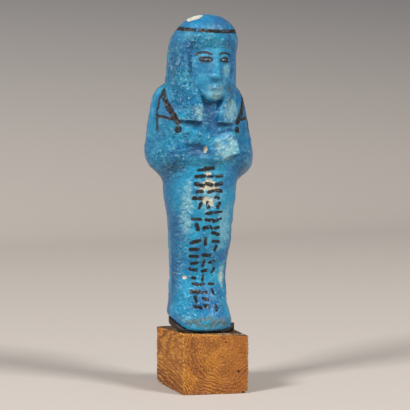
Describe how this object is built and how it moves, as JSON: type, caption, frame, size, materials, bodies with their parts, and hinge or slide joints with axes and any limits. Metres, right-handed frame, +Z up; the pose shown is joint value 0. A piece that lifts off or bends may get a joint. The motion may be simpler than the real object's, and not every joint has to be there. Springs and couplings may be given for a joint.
{
  "type": "ushabti figurine",
  "caption": "Moulded blue faience mummiform figurine with crossed arms and painted details, bedded in dark wax on a small wooden block.",
  "frame": {"origin": "middle of the wooden block's underside", "axes": "+Z up along the figurine, -Y the way the figurine faces, +X to the figurine's left"},
  "size_m": [0.043, 0.0358, 0.1376],
  "materials": {
    "faience": "pitted copper-blue glaze, half gloss",
    "wax": "dark brown wax, dull",
    "wood": "sawn softwood, unvarnished"
  },
  "bodies": {
    "root": {"figurine": "faience", "wax_pad": "wax", "wood_block": "wood"}
  },
  "joints": []
}
